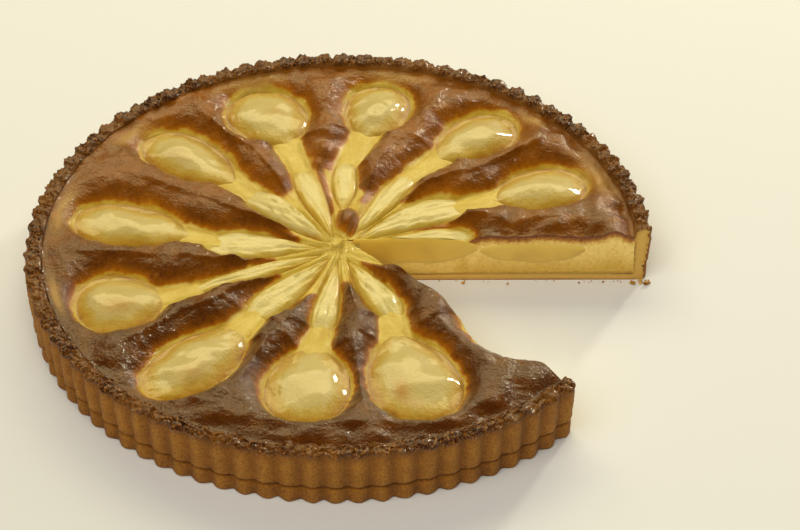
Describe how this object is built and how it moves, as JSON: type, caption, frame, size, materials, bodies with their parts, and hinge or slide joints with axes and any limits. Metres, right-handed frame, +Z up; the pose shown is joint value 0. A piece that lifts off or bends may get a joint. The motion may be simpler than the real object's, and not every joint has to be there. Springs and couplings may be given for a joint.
{
  "type": "pear frangipane tart",
  "caption": "Round fluted pastry tart with browned almond filling, pear halves round the edge, narrow pear slices meeting at the centre, and one wedge cut out",
  "frame": {"origin": "centre of the round underside, on the surface the tart stands on", "axes": "+Z up out of the filling; +X through the upper side of the missing slice; the slice is missing between the +X axis and 46 degrees clockwise of it seen from above"},
  "size_m": [0.2796, 0.28, 0.0308],
  "materials": {
    "pastry": "baked shortcrust, dry and fine-grained, darker on the rim",
    "filling": "browned and glazed almond filling, pale crumb inside",
    "pear": "poached pear under a clear glaze"
  },
  "bodies": {
    "root": {"crust": "pastry", "frangipane": "filling", "pear_half_1": "pear", "pear_half_2": "pear", "pear_half_3": "pear", "pear_half_4": "pear", "pear_half_5": "pear", "pear_half_6": "pear", "pear_half_7": "pear", "pear_half_8": "pear", "pear_half_9": "pear", "pear_half_10": "pear", "pear_half_cut": "pear", "pear_slice_1": "pear", "pear_slice_2": "pear", "pear_slice_3": "pear", "pear_slice_4": "pear", "pear_slice_5": "pear", "pear_slice_6": "pear", "pear_slice_7": "pear", "pear_slice_8": "pear", "pear_slice_9": "pear", "pear_slice_10": "pear", "pear_slice_11": "pear"}
  },
  "joints": []
}
